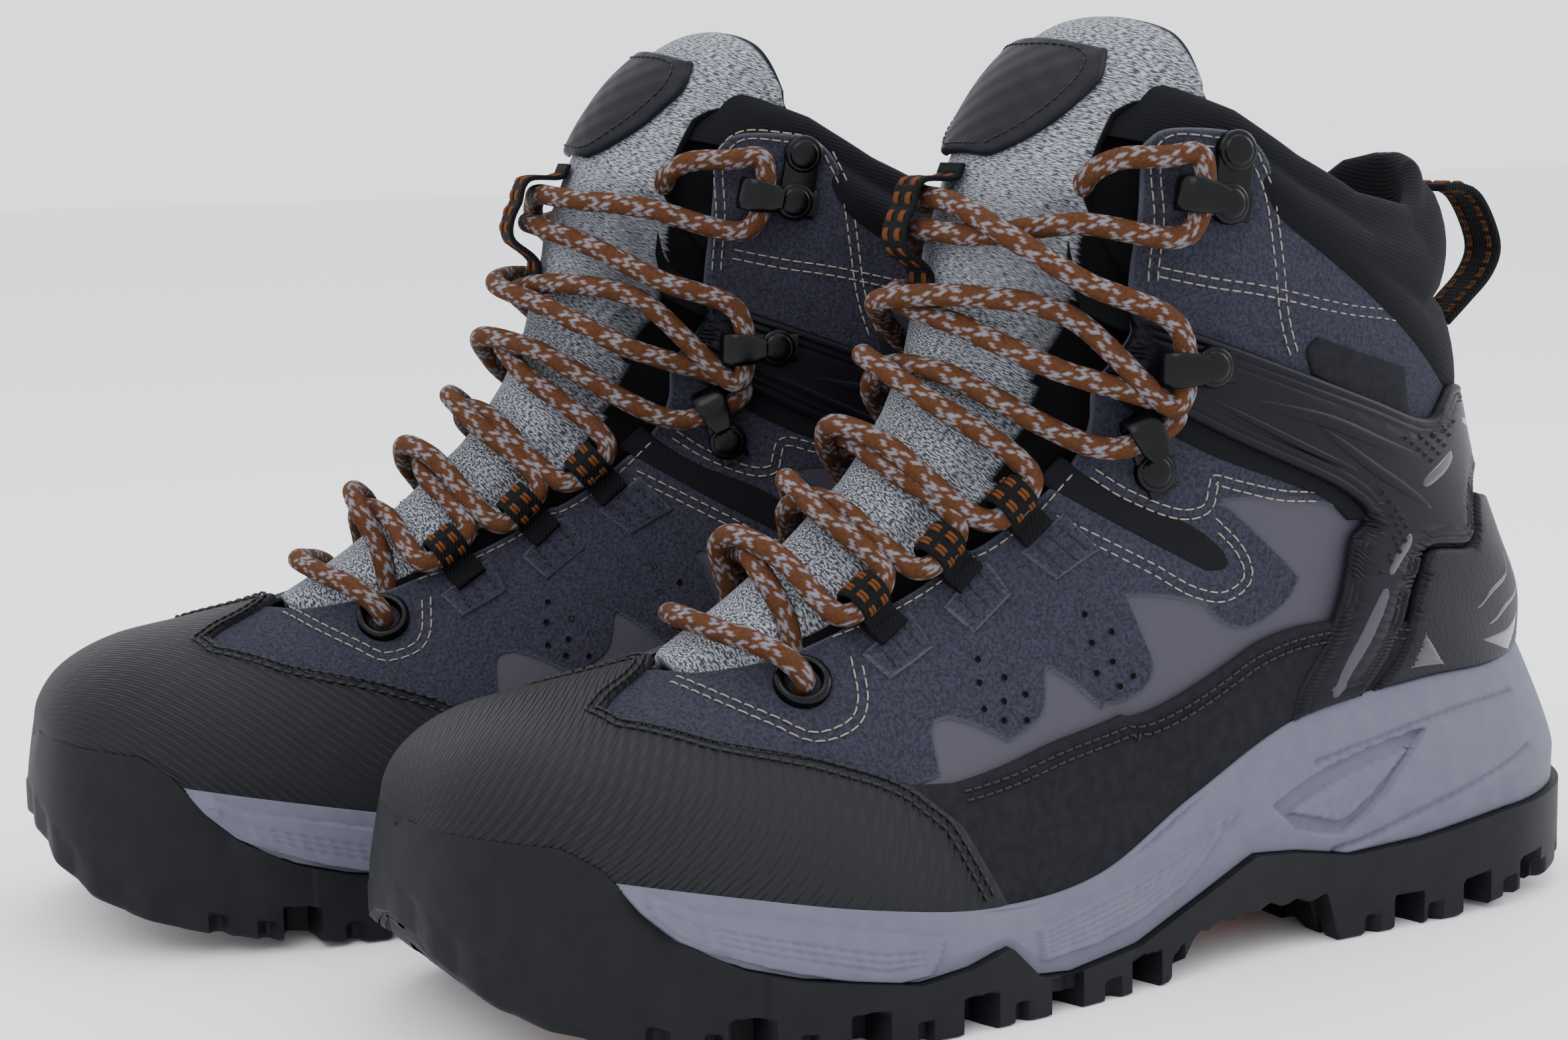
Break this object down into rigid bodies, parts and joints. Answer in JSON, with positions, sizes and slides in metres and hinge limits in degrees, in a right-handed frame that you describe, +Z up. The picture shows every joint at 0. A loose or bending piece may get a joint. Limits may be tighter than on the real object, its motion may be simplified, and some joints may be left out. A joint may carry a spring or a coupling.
{
  "type": "hiking boots",
  "caption": "Pair of lace-up mid-height hiking boots with suede uppers, a moulded ankle cage, padded collars, lace hooks and loops, heel pull loops and lugged rubber soles.",
  "frame": {"origin": "centre of the pair's bounding box, on the ground", "axes": "+Z up; toes towards -Y; the wearer's left boot at +X and the right boot at -X, each turned outwards by 4.2 degrees, the right boot 54 mm further forward"},
  "size_m": [0.2264, 0.3578, 0.2052],
  "materials": {
    "outsole_rubber": "matt black rubber",
    "midsole_foam": "matt blue-grey foam with fine grooves",
    "shank_orange": "satin orange plastic",
    "footbed_felt": "dark felt",
    "suede": "slate suede",
    "nubuck": "black nubuck",
    "moulded": "satin black moulding",
    "knit_black": "fine black knit",
    "knit_grey": "heather-grey knit",
    "label": "embossed black leather",
    "webbing": "black webbing with orange-brown dashes",
    "lace_brown": "round brown braid with grey tracers",
    "hook_metal": "black painted metal"
  },
  "bodies": {
    "left_boot": {"left_outsole": "outsole_rubber", "left_midsole": "midsole_foam", "left_shank_plate": "shank_orange", "left_footbed": "footbed_felt", "left_upper": "suede", "left_toe_cap": "nubuck", "left_rand": "nubuck", "left_heel_counter": "moulded", "left_ankle_cage": "moulded", "left_collar": "knit_black", "left_tongue": "knit_grey", "left_lace_keeper": "webbing", "left_lace": "lace_brown", "left_eyelet_outer": "hook_metal", "left_lace_loop_outer_1": "webbing", "left_lace_hook_outer_1": "hook_metal", "left_lace_loop_outer_2": "webbing", "left_lace_hook_outer_2": "hook_metal", "left_lace_loop_outer_3": "webbing", "left_lace_hook_outer_3": "hook_metal", "left_eyelet_inner": "hook_metal", "left_lace_loop_inner_1": "webbing", "left_lace_hook_inner_1": "hook_metal", "left_lace_loop_inner_2": "webbing", "left_lace_hook_inner_2": "hook_metal", "left_lace_loop_inner_3": "webbing", "left_lace_hook_inner_3": "hook_metal"},
    "left_tongue_top": {"left_tongue_flap": "knit_grey", "left_tongue_label": "label"},
    "left_pull_loop": {"left_heel_loop": "webbing"},
    "right_boot": {"right_outsole": "outsole_rubber", "right_midsole": "midsole_foam", "right_shank_plate": "shank_orange", "right_footbed": "footbed_felt", "right_upper": "suede", "right_toe_cap": "nubuck", "right_rand": "nubuck", "right_heel_counter": "moulded", "right_ankle_cage": "moulded", "right_collar": "knit_black", "right_tongue": "knit_grey", "right_lace_keeper": "webbing", "right_lace": "lace_brown", "right_eyelet_outer": "hook_metal", "right_lace_loop_outer_1": "webbing", "right_lace_hook_outer_1": "hook_metal", "right_lace_loop_outer_2": "webbing", "right_lace_hook_outer_2": "hook_metal", "right_lace_loop_outer_3": "webbing", "right_lace_hook_outer_3": "hook_metal", "right_eyelet_inner": "hook_metal", "right_lace_loop_inner_1": "webbing", "right_lace_hook_inner_1": "hook_metal", "right_lace_loop_inner_2": "webbing", "right_lace_hook_inner_2": "hook_metal", "right_lace_loop_inner_3": "webbing", "right_lace_hook_inner_3": "hook_metal"},
    "right_tongue_top": {"right_tongue_flap": "knit_grey", "right_tongue_label": "label"},
    "right_pull_loop": {"right_heel_loop": "webbing"}
  },
  "joints": [
    {"name": "right_boot_lift", "type": "slide", "parent": "left_boot", "child": "right_boot", "axis": [0, 0, 1], "range_m": [0, 0.3]},
    {"name": "left_tongue_fold", "type": "hinge", "parent": "left_boot", "child": "left_tongue_top", "pos_m": [0.05288, 0.01304, 0.178], "axis": [0.9973, 0.0732, 0], "range_deg": [0, 35], "stiffness_Nm_per_rad": 0.05},
    {"name": "left_heel_loop_swing", "type": "hinge", "parent": "left_boot", "child": "left_pull_loop", "pos_m": [0.0431, 0.14618, 0.15], "axis": [0, 0, 1], "range_deg": [-25, 25], "stiffness_Nm_per_rad": 0.02},
    {"name": "right_tongue_fold", "type": "hinge", "parent": "right_boot", "child": "right_tongue_top", "pos_m": [-0.05288, -0.04096, 0.178], "axis": [0.9973, -0.0732, 0], "range_deg": [0, 35], "stiffness_Nm_per_rad": 0.05},
    {"name": "right_heel_loop_swing", "type": "hinge", "parent": "right_boot", "child": "right_pull_loop", "pos_m": [-0.0431, 0.09218, 0.15], "axis": [0, 0, 1], "range_deg": [-25, 25], "stiffness_Nm_per_rad": 0.02}
  ]
}
